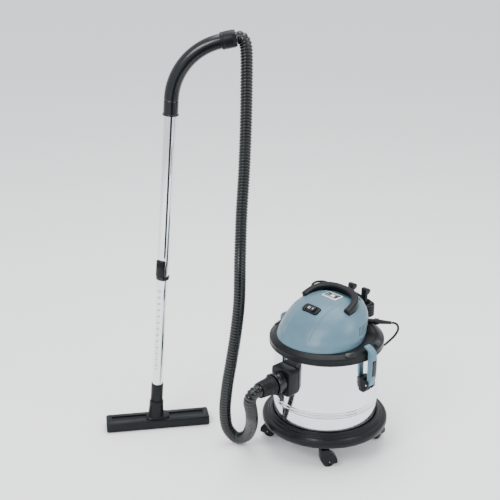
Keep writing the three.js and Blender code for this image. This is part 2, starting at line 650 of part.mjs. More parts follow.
function addCord(world, vacuum) {
  node('power_cord', sweptTube(CORD_ROUTE, CORD_R, 6, 60), 'rubber', world);
  const stadium = (radius) => roundedRectangle(HANK_RUN + 2 * radius, 2 * radius, radius);
  const outside = stadium(HANK_OUTER_R);
  outside.holes.push(stadium(HANK_INNER_R));
  const hank = raised(outside, HANK_HEIGHT, 0, 6).translate(HANK_X, HANK_Y, HANK_FLOOR);
  node('cord_hank', hank, 'rubber', vacuum);
  const plugBody = turned([
    [0, 0], [5, 0], [6, 12], [14, 18], [18, 22], [18.5, 38], [15, 40], [15, 39], [0, 39],
  ], 16);
  const pins = [-9.5, 9.5].map((x) => rod(2.4, 38, 58, 10).translate(x, 0, 0));
  const plug = node('plug', join(plugBody, ...pins), 'blackPlastic', vacuum);
  plug.rotation.set(Math.PI, 0, 0);
  plug.position.set(...PLUG_TOP);
  node('cord_tail', sweptTube(TAIL_ROUTE, CORD_R, 6, 24), 'rubber', vacuum);
}

// ---------- assembly ----------

const assembly = new THREE.Group();
const world = frameAt(assembly, [...ORIGIN_SHIFT, 0]);
const vacuum = frameAt(world, [0, 0, 0], [0, 0, VACUUM_YAW]);
const wand = frameAt(world, [...WAND_FOOT, 0], [0, WAND_LEAN, 0]);

addBase(vacuum);
for (let i = 0; i < CASTER_COUNT; i += 1) addCaster(vacuum, i);
addDrum(vacuum);
addInlet(vacuum);
addLatch(vacuum, 'right', 0);
addLatch(vacuum, 'left', Math.PI);
addLid(vacuum);
addHead(vacuum);
addCordRack(vacuum);
addMotor(vacuum);
addFilter(vacuum);
addHandle(wand);
addTubes(wand);
addNozzle(wand);
addHose(world);
addCord(world, vacuum);

export default assembly;
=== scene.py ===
# Shop vacuum: the visible shapes, materials, hose and mains cord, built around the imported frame.
import math
import bmesh
import bpy
from mathutils import Matrix, Vector


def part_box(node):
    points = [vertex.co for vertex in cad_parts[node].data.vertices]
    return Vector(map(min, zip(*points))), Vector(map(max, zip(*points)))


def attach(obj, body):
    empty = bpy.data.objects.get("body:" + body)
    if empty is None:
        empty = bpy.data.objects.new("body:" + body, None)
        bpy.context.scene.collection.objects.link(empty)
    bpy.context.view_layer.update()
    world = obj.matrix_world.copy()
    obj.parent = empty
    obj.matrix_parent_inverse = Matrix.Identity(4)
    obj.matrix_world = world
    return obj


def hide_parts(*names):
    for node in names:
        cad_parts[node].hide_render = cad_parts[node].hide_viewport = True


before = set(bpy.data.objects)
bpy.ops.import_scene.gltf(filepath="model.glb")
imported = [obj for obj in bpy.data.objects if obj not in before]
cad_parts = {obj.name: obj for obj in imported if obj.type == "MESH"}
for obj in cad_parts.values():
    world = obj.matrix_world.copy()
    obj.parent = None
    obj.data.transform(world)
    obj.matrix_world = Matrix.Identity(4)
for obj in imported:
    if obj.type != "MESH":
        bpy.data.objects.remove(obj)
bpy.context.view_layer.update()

MM = 0.001
SEGMENTS = 112                      # sides of a large round piece

# ---------- places, worked out from the frame ----------


def shift(x, y, z):
    """A move by millimetres."""
    return Matrix.Translation(Vector((x, y, z)) * MM)


def turned(degrees, axis):
    return Matrix.Rotation(math.radians(degrees), 4, axis)


def middle(node):
    low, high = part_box(node)
    return Vector([(a + b) / 2 for a, b in zip(low, high)])


DRUM_MID = middle("drum_shell")
AXIS = Vector((DRUM_MID.x, DRUM_MID.y, 0))
VACUUM_YAW = math.radians(-48)
VACUUM = Matrix.Translation(AXIS) @ Matrix.Rotation(VACUUM_YAW, 4, "Z")
HEAD = VACUUM @ Matrix.Translation((0, -12 * MM, 0))
WAND_LEAN = math.radians(4.36)
WAND_FOOT = AXIS + Vector((-508, 79, 0)) * MM
WAND = Matrix.Translation(WAND_FOOT) @ Matrix.Rotation(WAND_LEAN, 4, "Y")
INLET_Z = 254
INLET = VACUUM @ Matrix.Translation((0, 0, INLET_Z * MM)) @ Matrix.Rotation(math.radians(90), 4, "X")
GAP = 0.3

# ---------- camera ----------

camera_data = bpy.data.cameras.new("camera")
camera_data.sensor_width = 36
camera_data.lens = 72
camera = bpy.data.objects.new("camera", camera_data)
bpy.context.scene.collection.objects.link(camera)
camera.location = (AXIS.x - 0.2192, AXIS.y - 2.5884, 1.5797)
camera.rotation_euler = (math.radians(90 - 20.776), 0, 0)
bpy.context.scene.camera = camera

# ---------- materials ----------


def new_material(name, color, roughness, metallic=0.0):
    material = bpy.data.materials.new(name)
    material.use_nodes = True
    shader = material.node_tree.nodes["Principled BSDF"]
    shader.inputs["Base Color"].default_value = (*color, 1)
    shader.inputs["Roughness"].default_value = roughness
    shader.inputs["Metallic"].default_value = metallic
    return material, shader


def noise(material, scale, detail=3.0, stretch=(1, 1, 1)):
    tree = material.node_tree
    place = tree.nodes.new("ShaderNodeTexCoord")
    mapping = tree.nodes.new("ShaderNodeMapping")
    mapping.inputs["Scale"].default_value = stretch
    texture = tree.nodes.new("ShaderNodeTexNoise")
    texture.inputs["Scale"].default_value = scale
    texture.inputs["Detail"].default_value = detail
    tree.links.new(place.outputs["Object"], mapping.inputs["Vector"])
    tree.links.new(mapping.outputs["Vector"], texture.inputs["Vector"])
    return texture.outputs["Fac"]


def spread(material, value, low, high):
    """Map a 0..1 value to a range."""
    tree = material.node_tree
    node = tree.nodes.new("ShaderNodeMapRange")
    node.inputs["From Min"].default_value = 0.3
    node.inputs["From Max"].default_value = 0.7
    node.inputs["To Min"].default_value = low
    node.inputs["To Max"].default_value = high
    tree.links.new(value, node.inputs["Value"])
    return node.outputs["Result"]


def mixed_color(material, value, first, second):
    tree = material.node_tree
    ramp = tree.nodes.new("ShaderNodeValToRGB")
    ramp.color_ramp.elements[0].position = 0.3
    ramp.color_ramp.elements[0].color = (*first, 1)
    ramp.color_ramp.elements[1].position = 0.7
    ramp.color_ramp.elements[1].color = (*second, 1)
    tree.links.new(value, ramp.inputs["Fac"])
    return ramp.outputs["Color"]


def add_bump(material, shader, value, distance, strength=1.0):
    tree = material.node_tree
    bump = tree.nodes.new("ShaderNodeBump")
    bump.inputs["Distance"].default_value = distance
    bump.inputs["Strength"].default_value = strength
    tree.links.new(value, bump.inputs["Height"])
    tree.links.new(bump.outputs["Normal"], shader.inputs["Normal"])


def moulded(name, color, roughness, grain=900, grain_height=0.00012, coat=0.0, shine=0.5):
    """Moulded plastic or rubber: a fine grain, a slight colour drift and handling wear in the gloss."""
    material, shader = new_material(name, color, roughness)
    links = material.node_tree.links
    drift = noise(material, 9.0, 4)
    lighter = tuple(min(1, c * 1.22 + 0.0005) for c in color)
    darker = tuple(c * 0.84 for c in color)
    links.new(mixed_color(material, drift, darker, lighter), shader.inputs["Base Color"])
    wear = noise(material, 38.0, 6)
    links.new(spread(material, wear, roughness * 0.82, min(1, roughness * 1.25)), shader.inputs["Roughness"])
    add_bump(material, shader, noise(material, grain, 2), grain_height, 0.35)
    shader.inputs["Specular IOR Level"].default_value = shine
    shader.inputs["Coat Weight"].default_value = coat
    shader.inputs["Coat Roughness"].default_value = 0.12
    return material


def metal(name, color, roughness, stretch, lines=260, height=0.00002):
    """Sheet or tube metal with rolling lines along its length and faint smudges."""
    material, shader = new_material(name, color, roughness, 1.0)
    links = material.node_tree.links
    smudge = noise(material, 14.0, 5)
    links.new(spread(material, smudge, roughness * 0.7, roughness * 1.6), shader.inputs["Roughness"])
    tint = noise(material, 5.0, 3)
    darker = tuple(c * 0.93 for c in color)
    links.new(mixed_color(material, tint, darker, color), shader.inputs["Base Color"])
    add_bump(material, shader, noise(material, lines, 3, stretch), height, 0.25)
    return material


black = moulded("black_moulded", (0.003, 0.004, 0.005), 0.34, shine=0.2)
black_gloss = moulded("black_gloss", (0.0035, 0.0045, 0.006), 0.24, 500, 0.00005, 0.15, 0.3)
blue = moulded("blue_grey_plastic", (0.078, 0.150, 0.195), 0.36, 1100, 0.00006, 0.08, 0.35)
rubber = moulded("rubber", (0.004, 0.0045, 0.005), 0.6, 700, 0.00015, shine=0.25)
hose_skin = moulded("hose_skin", (0.002, 0.0035, 0.004), 0.24, 300, 0.00006, 0.2, 0.35)
sheath = moulded("cord_sheath", (0.003, 0.0035, 0.004), 0.42, 900, 0.00008, shine=0.3)
foam = moulded("foam", (0.035, 0.038, 0.042), 0.95, 420, 0.0009)
white = moulded("white_plastic", (0.72, 0.74, 0.75), 0.38, 900, 0.00005)
label_field = moulded("label_field", (0.008, 0.010, 0.016), 0.3, 600, 0.00004, shine=0.3)
mark = moulded("switch_mark", (0.75, 0.77, 0.78), 0.5, 600, 0.00003)
steel = metal("drum_steel", (0.80, 0.83, 0.85), 0.085, (1, 1, 26))
chrome = metal("tube_chrome", (0.86, 0.87, 0.89), 0.05, (30, 30, 0.4), 120, 0.00001)
pin_steel = metal("pin_steel", (0.55, 0.56, 0.58), 0.25, (1, 1, 20))
alloy = metal("motor_alloy", (0.50, 0.52, 0.54), 0.42, (1, 1, 12))
copper = metal("winding", (0.45, 0.20, 0.09), 0.38, (6, 6, 1), 400, 0.0002)

# ---------- mesh helpers ----------


def piece(name, vertices, faces, material, body, slot, nodes=(), smooth_angle=40):
    mesh = bpy.data.meshes.new(name)
    mesh.from_pydata([tuple(v) for v in vertices], [], faces)
    return finish_piece(name, mesh, material, body, slot, nodes, smooth_angle)


def finish_piece(name, mesh, material, body, slot, nodes, smooth_angle=40):
    work = bmesh.new()
    work.from_mesh(mesh)
    bmesh.ops.remove_doubles(work, verts=work.verts, dist=1e-6)
    bmesh.ops.recalc_face_normals(work, faces=work.faces)
    limit = math.radians(smooth_angle)
    for face in work.faces:
        face.smooth = True
    for edge in work.edges:
        if len(edge.link_faces) == 2 and edge.calc_face_angle(0) > limit:
            edge.smooth = False
    work.to_mesh(mesh)
    work.free()
    thing = bpy.data.objects.new(name, mesh)
    bpy.context.scene.collection.objects.link(thing)
    mesh.materials.clear()
    mesh.materials.append(material)
    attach(thing, body)
    if nodes:
        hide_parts(*nodes)
    return thing


def rounded(profile, radius, closed, steps=3):
    """Round the corners of a [radius, height] profile with short arcs, in millimetres."""
    result = []
    count = len(profile)
    for i, point in enumerate(profile):
        here = Vector(point)
        if not closed and i in (0, count - 1):
            result.append(here)
            continue
        before = Vector(profile[i - 1])
        after = Vector(profile[(i + 1) % count])
        reach = min(radius, (here - before).length * 0.45, (after - here).length * 0.45)
        start = here + (before - here).normalized() * reach
        end = here + (after - here).normalized() * reach
        for k in range(steps + 1):
            t = k / steps
            result.append(start.lerp(here, t).lerp(here.lerp(end, t), t))
    return result


def lathe(name, profile, place, material, body, slot, nodes=(), corner=1.0, segments=SEGMENTS):
    """A solid of revolution about the place's own Z from millimetre [radius, height] pairs."""
    closed = not (profile[0][0] == 0 and profile[-1][0] == 0)
    points = rounded(profile, corner, closed)
    vertices = []
    faces = []
    for point in points:
        for j in range(segments):
            turn = 2 * math.pi * j / segments
            local = Vector((point.x * math.cos(turn), point.x * math.sin(turn), point.y)) * MM
            vertices.append(place @ local)
    rings = len(points) if closed else len(points) - 1
    for i in range(rings):
        k = (i + 1) % len(points)
        for j in range(segments):
            m = (j + 1) % segments
            faces.append((i * segments + j, i * segments + m, k * segments + m, k * segments + j))
    return piece(name, vertices, faces, material, body, slot, nodes)


def apply_modifiers(thing):
    depsgraph = bpy.context.evaluated_depsgraph_get()
    mesh = bpy.data.meshes.new_from_object(thing.evaluated_get(depsgraph))
    thing.modifiers.clear()
    old = thing.data
    thing.data = mesh
    bpy.data.meshes.remove(old)


def smooth_by_angle(thing, degrees=40):
    work = bmesh.new()
    work.from_mesh(thing.data)
    limit = math.radians(degrees)
    for face in work.faces:
        face.smooth = True
    for edge in work.edges:
        edge.smooth = not (len(edge.link_faces) == 2 and edge.calc_face_angle(0) > limit)
    work.to_mesh(thing.data)
    work.free()


def refined(node, material, body, bevel=0.7, angle=32):
    """A copy of a CAD node with its flat faces merged and its edges rounded."""
    source = bpy.data.objects[node].data
    mesh = source.copy()
    mesh.name = node + "_shape"
    work = bmesh.new()
    work.from_mesh(mesh)
    bmesh.ops.remove_doubles(work, verts=work.verts, dist=2e-6)
    bmesh.ops.dissolve_limit(work, angle_limit=math.radians(0.8), verts=work.verts, edges=work.edges)
    work.to_mesh(mesh)
    work.free()
    thing = bpy.data.objects.new(node + "_shape", mesh)
    bpy.context.scene.collection.objects.link(thing)
    mesh.materials.clear()
    mesh.materials.append(material)
    rounding = thing.modifiers.new("rounding", "BEVEL")
    rounding.width = bevel * MM
    rounding.segments = 2
    rounding.limit_method = "ANGLE"
    rounding.angle_limit = math.radians(angle)
    apply_modifiers(thing)
    smooth_by_angle(thing, 42)
    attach(thing, body)
    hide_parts(node)
    return thing


def cutter(name, vertices, faces):
    mesh = bpy.data.meshes.new(name)
    mesh.from_pydata([tuple(v) for v in vertices], [], faces)
    work = bmesh.new()
    work.from_mesh(mesh)
    bmesh.ops.recalc_face_normals(work, faces=work.faces)
    work.to_mesh(mesh)
    work.free()
    return bpy.data.objects.new(name, mesh)


def prism(points, depth, place):
    """Vertices and faces of a millimetre outline in the place's XY plane, raised along its Z."""
    count = len(points)
    vertices = [place @ (Vector((x, y, 0)) * MM) for x, y in points]
    vertices += [place @ (Vector((x, y, depth)) * MM) for x, y in points]
    faces = [tuple(range(count - 1, -1, -1)), tuple(range(count, 2 * count))]
    for i in range(count):
        k = (i + 1) % count
        faces.append((i, k, k + count, i + count))
    return vertices, faces


def rounded_rectangle(width, height, radius, steps=6):
    points = []
    for k, (sx, sy) in enumerate(((1, 1), (-1, 1), (-1, -1), (1, -1))):
        for i in range(steps + 1):
            turn = math.pi / 2 * (k + i / steps)
            x = sx * (width / 2 - radius) + radius * math.cos(turn)
            y = sy * (height / 2 - radius) + radius * math.sin(turn)
            points.append((x, y))
    return points


def carve(thing, cutters):
    for tool in cutters:
        bpy.context.scene.collection.objects.link(tool)
        step = thing.modifiers.new("carve", "BOOLEAN")
        step.operation = "DIFFERENCE"
        step.solver = "EXACT"
        step.object = tool
    apply_modifiers(thing)
    for tool in cutters:
        bpy.data.objects.remove(tool)


def soften(thing, width, angle=30, segments=2):
    rounding = thing.modifiers.new("rounding", "BEVEL")
    rounding.width = width * MM
    rounding.segments = segments
    rounding.limit_method = "ANGLE"
    rounding.angle_limit = math.radians(angle)
    apply_modifiers(thing)
    smooth_by_angle(thing, 42)


# ---------- routes ----------


def centripetal(points, per_span):
    """The centripetal Catmull-Rom curve that the CAD routes follow."""
    first = points[0] * 2 - points[1]
    last = points[-1] * 2 - points[-2]
    control = [first, *points, last]
    result = []
    for i in range(1, len(control) - 2):
        p0, p1, p2, p3 = control[i - 1:i + 3]
        t0 = 0.0
        t1 = t0 + math.sqrt((p1 - p0).length)
        t2 = t1 + math.sqrt((p2 - p1).length)
        t3 = t2 + math.sqrt((p3 - p2).length)
        for k in range(per_span):
            t = t1 + (t2 - t1) * k / per_span
            a1 = p0 * ((t1 - t) / (t1 - t0)) + p1 * ((t - t0) / (t1 - t0))
            a2 = p1 * ((t2 - t) / (t2 - t1)) + p2 * ((t - t1) / (t2 - t1))
            a3 = p2 * ((t3 - t) / (t3 - t2)) + p3 * ((t - t2) / (t3 - t2))
            b1 = a1 * ((t2 - t) / (t2 - t0)) + a2 * ((t - t0) / (t2 - t0))
            b2 = a2 * ((t3 - t) / (t3 - t1)) + a3 * ((t - t1) / (t3 - t1))
            result.append(b1 * ((t2 - t) / (t2 - t1)) + b2 * ((t - t1) / (t2 - t1)))
    result.append(points[-1].copy())
    return result


def route_length(points):
    return sum((b - a).length for a, b in zip(points, points[1:]))


def even_steps(points, step):
    total = route_length(points)
    count = max(2, round(total / step))
    result = [points[0].copy()]
    walked = 0.0
    target = total / count
    for a, b in zip(points, points[1:]):
        span = (b - a).length
        while span > 0 and walked + span >= target * len(result) - 1e-12 and len(result) < count:
            result.append(a.lerp(b, (target * len(result) - walked) / span))
        walked += span
    result.append(points[-1].copy())
    return result


def swept(name, centres, radius_at, sides, material, body, slot, nodes=()):
    """A closed tube along ring centres; radius_at gives each ring's radius from its index."""
    vertices = []
    faces = []
    tangent = (centres[1] - centres[0]).normalized()
    normal = tangent.orthogonal().normalized()
    for i, centre in enumerate(centres):
        ahead = centres[min(i + 1, len(centres) - 1)]
        behind = centres[max(i - 1, 0)]
        heading = (ahead - behind).normalized()
        normal = (tangent.rotation_difference(heading) @ normal).normalized()
        tangent = heading
        side = tangent.cross(normal)
        radius = radius_at(i)
        for j in range(sides):
            turn = 2 * math.pi * j / sides
            vertices.append(centre + (normal * math.cos(turn) + side * math.sin(turn)) * radius)
    for i in range(len(centres) - 1):
        for j in range(sides):
            m = (j + 1) % sides
            faces.append((i * sides + j, i * sides + m, (i + 1) * sides + m, (i + 1) * sides + j))
    last = (len(centres) - 1) * sides
    faces.append(tuple(range(sides - 1, -1, -1)))
    faces.append(tuple(range(last, last + sides)))
    return piece(name, vertices, faces, material, body, slot, nodes, 60)


def swept_shell(name, centres, outer_at, inner_radius, sides, material, body, slot, nodes=()):
    """A hollow planar sweep in the wand's XZ plane, closed round both ends."""
    vertices = []
    faces = []
    across = (WAND.to_3x3() @ Vector((0, 1, 0))).normalized()
    count = len(centres)
    for i, centre in enumerate(centres):
        heading = (centres[min(i + 1, count - 1)] - centres[max(i - 1, 0)]).normalized()
        up = heading.cross(across).normalized()
        for radius in (outer_at(i), inner_radius):
            for j in range(sides):
                turn = 2 * math.pi * j / sides
                vertices.append(centre + (up * math.cos(turn) + across * math.sin(turn)) * radius)
    ring = 2 * sides
    for i in range(count - 1):
        for j in range(sides):
            m = (j + 1) % sides
            low = i * ring
            high = low + ring
            faces.append((low + j, low + m, high + m, high + j))
            faces.append((low + sides + m, low + sides + j, high + sides + j, high + sides + m))
    for base in (0, (count - 1) * ring):
        for j in range(sides):
            m = (j + 1) % sides
            faces.append((base + j, base + m, base + sides + m, base + sides + j))
    return piece(name, vertices, faces, material, body, slot, nodes, 50)


# ---------- hose ----------

HOSE_ROUTE = [
    (-254.8, 79, 1167), (-247, 79, 1168.7), (-238.5, 79, 1164.5), (-232, 79, 1153), (-229, 79, 1136),
    (-228, 79, 1100), (-228.5, 77, 1040), (-230, 73, 950), (-235, 62, 815), (-243, 45, 682), (-247, 30, 559),
    (-250, 15, 434), (-260, 4, 340), (-272, -5, 262), (-286, -14, 175), (-292, -21, 98), (-284, -27, 47),
    (-258, -33, 20.5), (-231, -52, 38), (-217, -84, 84), (-214, -118, 130), (-215, -150, 172),
    (-218, -176, 205), (-220, -191, 230), (-214, -192.6, 248), (-204.4, -184, 254), (-195.4, -176, 254),
]
RIB_PITCH = 8.4 * MM
RINGS_PER_RIB = 6
HOSE_SIDES = 28
CREST_R, PLAIN_GROOVE_R, DEEP_GROOVE_R = 17.8 * MM, 16.9 * MM, 15.0 * MM
DEEP_FROM_Z, DEEP_FADE = 0.50, 0.12     # the grooves deepen above this height, in metres
END_SHARE, END_FADE = 0.90, 0.03        # and again over the last part before the inlet


def make_hose():
    points = [AXIS + Vector(p) * MM for p in HOSE_ROUTE]
    centres = even_steps(centripetal(points, 30), RIB_PITCH / RINGS_PER_RIB)
    total = len(centres)

    def groove_at(i):
        near_top = min(1, max(0, (centres[i].z - DEEP_FROM_Z) / DEEP_FADE))
        near_inlet = min(1, max(0, (i - total * END_SHARE) / (total * END_FADE)))
        return PLAIN_GROOVE_R + (DEEP_GROOVE_R - PLAIN_GROOVE_R) * max(near_top, near_inlet)

    def radius_at(i):
        wave = 0.5 + 0.5 * math.cos(2 * math.pi * i / RINGS_PER_RIB)
        return groove_at(i) + (CREST_R - groove_at(i)) * wave ** 0.7

    hose = swept("hose", centres, radius_at, HOSE_SIDES, hose_skin, "root", "hose_plastic",
                 ["suction_hose"])
    length = route_length(centres)
    tuple(centres[0])
    [tuple(c) for c in centres]


make_hose()

# ---------- mains cord ----------

CORD_ROUTE = [
    (187.4, 19.3, 367.1), (195.4, 18.7, 366.6), (203.5, 18.5, 361), (207, 20, 347), (200, 25, 326),
    (186, 36, 302), (172, 58, 276), (156, 92, 254), (132, 130, 240), (98, 160, 240), (62, 178, 256),
    (26, 188, 290), (-4, 190, 336), (-26, 184, 384), (-34, 172, 418), (-24, 158, 436), (-4, 154, 440),
    (16, 164, 430), (36, 180, 412), (57.9, 187.5, 402.5), (75.8, 176.4, 402.2), (90, 164.5, 402),
]
CORD_DIAMETER = 7 * MM
CORD_SIDES = 10
CORD_POINTS_PER_SPAN = 8
CORD_STEP = 5 * MM
RACK_X, RACK_Y = -26.25, 156        # middle of the hank, behind the cover
HALF_RUN = 26.25
INNER_R, OUTER_R = 21, 28           # the hank's two layers
TOP_Z, LOW_Z = 394, 357
TURNS = 5                           # in each layer
POINTS_PER_TURN = 28
ENTRY_POINTS, ENTRY_RISE = 12, 7.8  # the cord comes down onto the hank
CROSS_SHARE = 0.025                 # share of a layer used to cross to the next and to leave
EXIT_DROP, EXIT_SWING = 8, 4        # and leaves it downwards and outwards


def stadium_point(walked, radius):
    """A point of the oval walked clockwise from its rear left corner, in the vacuum's frame."""
    lap = 4 * HALF_RUN + 2 * math.pi * radius
    s = walked % lap
    if s < 2 * HALF_RUN:
        return (RACK_X - HALF_RUN + s, RACK_Y + radius)
    s -= 2 * HALF_RUN
    if s < math.pi * radius:
        turn = math.pi / 2 - s / radius
        return (RACK_X + HALF_RUN + radius * math.cos(turn), RACK_Y + radius * math.sin(turn))
    s -= math.pi * radius
    if s < 2 * HALF_RUN:
        return (RACK_X + HALF_RUN - s, RACK_Y - radius)
    s -= 2 * HALF_RUN
    turn = -math.pi / 2 - s / radius
    return (RACK_X - HALF_RUN + radius * math.cos(turn), RACK_Y + radius * math.sin(turn))


def hank_points():
    """The stored turns: down the inner layer, across, and up the outer layer."""
    points = []
    for layer, (radius, start, end) in enumerate(((INNER_R, TOP_Z, LOW_Z), (OUTER_R, LOW_Z, TOP_Z))):
        lap = 4 * HALF_RUN + 2 * math.pi * radius
        count = TURNS * POINTS_PER_TURN
        for i in range(count + 1):
            share = i / count
            if layer == 1 and share < CROSS_SHARE:
                continue
            x, y = stadium_point(share * TURNS * lap, radius)
            z = start + (end - start) * share
            if layer == 0 and i < ENTRY_POINTS:
                z += ENTRY_RISE * (1 - i / ENTRY_POINTS) ** 2
            if layer == 1 and share > 1 - CROSS_SHARE:
                leaving = ((share - 1 + CROSS_SHARE) / CROSS_SHARE) ** 2
                z -= EXIT_DROP * leaving
                y += EXIT_SWING * leaving
            points.append(Vector((x, y, z)))
    return points


TAIL = [
    (-52, 191.9, 386), (-38, 192.3, 385), (-27, 196.5, 382), (-24, 203, 378), (-30, 208.5, 373),
    (-42, 209.5, 368), (-54, 208, 362), (-60, 207, 355), (-60, 207, 349),
]


def make_cord():
    free = [AXIS + Vector(p) * MM for p in CORD_ROUTE]
    stored = [VACUUM @ (p * MM) for p in hank_points()]
    tail = [VACUUM @ (Vector(p) * MM) for p in TAIL]
    centres = even_steps(centripetal(free + stored[1:-1] + tail, CORD_POINTS_PER_SPAN), CORD_STEP)
    cord = swept("mains_cord", centres, lambda i: CORD_DIAMETER / 2, CORD_SIDES, sheath, "head",
                 "cord_rubber", ["power_cord", "cord_hank", "cord_tail"])
    plug = refined("plug", black_gloss, "head", 0.8)
    tuple(centres[0])
    [tuple(c) for c in centres]


make_cord()

# ---------- dolly and casters ----------


CASTER_COUNT = 4


def axle_heading(i):
    """The level direction of a caster's axle, read from its node's own mesh."""
    node = f"caster_axle_{i}"
    low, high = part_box(node)
    mid = middle(node)
    lean = sum((v.co.x - mid.x) * (v.co.y - mid.y) for v in bpy.data.objects[node].data.vertices)
    across = high[1] - low[1]
    if lean < 0:
        across = -across
    return Vector((high[0] - low[0], across, 0)).normalized()


def make_caster(i):
    turn = Vector((0, 0, 1)).rotation_difference(axle_heading(i)).to_matrix().to_4x4()
    place = Matrix.Translation(middle(f"caster_wheel_{i}")) @ turn
    lathe(f"wheel_{i}", [
        (2.3, -8.5), (6.5, -8.5), (7, -6), (12, -6), (12.5, -8.6), (16, -8.8), (18, -8.4), (20, -6),
        (20, 6), (18, 8.4), (16, 8.8), (12.5, 8.6), (12, 6), (7, 6), (6.5, 8.5), (2.3, 8.5),
    ], place, rubber, f"wheel_{i}", "wheel_rubber", [f"caster_wheel_{i}"], 0.8, 48)
    lathe(f"axle_{i}", [(0, -15), (2, -15), (2, 15), (0, 15)], place, pin_steel, f"wheel_{i}",
          "pin_steel", [f"caster_axle_{i}"], 0.4, 24)
    refined(f"caster_fork_{i}", black, f"caster_{i}", 1.0)


def make_dolly():
    lathe("dolly_ring", [
        (112, 78), (172.5, 78), (173, 73.5), (176, 72), (180.5, 73.5), (183, 79), (183, 86), (181.5, 91),
        (177, 94.5), (171, 95), (167.4, 95.6), (167, 97.4), (166, 99.5), (160, 101), (159, 103),
        (158.5, 106.5), (154.5, 108), (151.6, 107), (151, 88), (112, 88),
    ], VACUUM, black, "root", "black_plastic", ["base_ring"], 0.9)
    for i in range(1, CASTER_COUNT + 1):
        make_caster(i)


make_dolly()

# ---------- drum and inlet ----------


DRUM_R = 150
BEAD_RISE = 1.3
BEAD_HEIGHTS = (154, 163.5)


def bead(z):
    crest = DRUM_R + BEAD_RISE
    return [(DRUM_R, z - 4), (crest, z - 1.6), (crest, z + 1.6), (DRUM_R, z + 4)]


def make_drum():
    lathe("drum", [
        (0, 88.3), (146, 88.3), (DRUM_R, 92.3), *bead(BEAD_HEIGHTS[0]), *bead(BEAD_HEIGHTS[1]),
        (DRUM_R, 317), (152.4, 319.5), (153, 322), (153, 325), (151, 327), (148.8, 326), (148.8, 93),
        (145, 89.5), (0, 89.5),
    ], VACUUM, steel, "root", "drum_steel", ["drum_shell"], 1.2, 160)
    refined("inlet_housing", black, "root", 1.3)
    refined("inlet_deflector", black, "root", 1.0)
    lathe("lock_ring_body", [
        (24.5, 184), (30, 184), (31, 185.5), (31, 189), (29.8, 190), (29.8, 192), (31, 193), (31, 208),
        (29.5, 210), (24.5, 210),
    ], INLET, black_gloss, "inlet_ring", "black_plastic", [], 0.7)
    refined("inlet_lock_ring", black_gloss, "inlet_ring", 0.6)
    lathe("inlet_cuff", [
        (16, 172), (19.7, 172), (19.7, 212.4), (26.5, 212.4), (27.5, 214), (27.5, 218), (26, 220.5),
        (24.6, 222), (24.6, 225), (23.4, 226), (23.4, 228), (24.6, 229), (24.6, 232), (23.2, 233),
        (23.2, 235), (24.2, 236), (24.2, 239), (22.8, 240), (22.8, 242), (23.8, 243), (23.8, 246),
        (22.4, 247), (22.4, 249.5), (23.2, 251), (23.2, 254), (22, 256), (22, 262), (16, 262),
    ], INLET, black, "root", "black_plastic", ["hose_inlet_cuff"], 0.5)


make_drum()

# ---------- latches ----------


def make_latches():
    for side in ("right", "left"):
        refined(f"latch_bracket_{side}", black, "root", 0.8)
        refined(f"latch_lever_{side}", blue, f"latch_{side}", 1.1)
        refined(f"latch_thumb_pad_{side}", black_gloss, f"latch_{side}", 0.6)
        refined(f"latch_pin_{side}", pin_steel, "root", 0.3)


make_latches()

# ---------- head ----------

COVER_HALF_WIDTH = 126
COVER_HALF_LENGTH = 121
COVER_HEIGHT = 106
COVER_FOOT_Y = -27
COVER_LEAN = 55                     # how far the cover's top sits behind its foot
COVER_WALL = 2.6
COVER_POWER = 2.8                   # superellipse power of the side profile
COVER_FLOOR = 348.3
COVER_RINGS, COVER_SIDES = 64, 256
RING_SPREAD = 1.25                  # packs the rings closer together near the foot
DETAIL_DEPTH = 2                    # room that the pressed-in detail takes inside the wall
LIP_GROOVE_Z = 8.5
LIP_GROOVE_HALF, LIP_GROOVE_DEPTH = 1.5, 1.1
BAND_HALF_WIDTH = 46
BAND_RISE = 2.0
BAND_EDGE = 4                       # width of the band's sloping edge
BAND_START, BAND_FADE = 16, 16      # heights over which the band grows out of the cover
CORE_Y_SHARE, CORE_Z_SHARE = 0.15, 0.4
SCOOP_Y, SCOOP_Z, SCOOP_R, SCOOP_REACH = 60, 446, 22, 56
SCOOP_SIDES = 64

CARRY_HALF, CARRY_REACH = 92, 82    # half width and depth of the carry handle's horseshoe
CARRY_BAND, CARRY_ENDS, CARRY_THICK = 19, 6, 22
CARRY_POWER = 0.8
CARRY_TILT = 19
CARRY_Y, CARRY_Z = -6, 438

SWITCH_Y, SWITCH_Z, SWITCH_TILT = -64, 436.2, 24
BEZEL_SIZE, BEZEL_CORNER = (58, 28), 9
LABEL_Y, LABEL_SEAT_Z, LABEL_FIELD_Z = 19, 452.2, 455.4
LABEL_SIZE, LABEL_CORNER = (52, 34), 3
LABEL_FIELD_SIZE = (45, 27)
LABEL_BARS = ((0, 9, 34, 1.2), (3, -1, 13, 9), (-13, -1, 7, 1.2), (0, -9.5, 34, 1.2))

LOUVRE_COUNT, LOUVRE_PITCH = 9, 7
LOUVRE_X, LOUVRE_Y, LOUVRE_Z = 115, 4, 375
LOUVRE_SIZE, LOUVRE_CORNER, LOUVRE_HEIGHT = (40, 2.6), 1.2, 26

PAD_TURN, PAD_R, PAD_Z, PAD_SLOPE = 21, 153, 344.0, 30
PAD_SIZE, PAD_CORNER, PAD_THICK = (15, 32), 6, 3.6

GLAND_FOOT = (64.5, 107.4, 371)
GLAND_HEADING = Vector((0.72, 0.69, -0.06)).normalized()
GLAND_TURN = Vector((0, 0, 1)).rotation_difference(GLAND_HEADING).to_matrix().to_4x4()
GLAND = VACUUM @ shift(*GLAND_FOOT) @ GLAND_TURN
SWITCH = VACUUM @ shift(0, SWITCH_Y, SWITCH_Z) @ turned(SWITCH_TILT, "X")


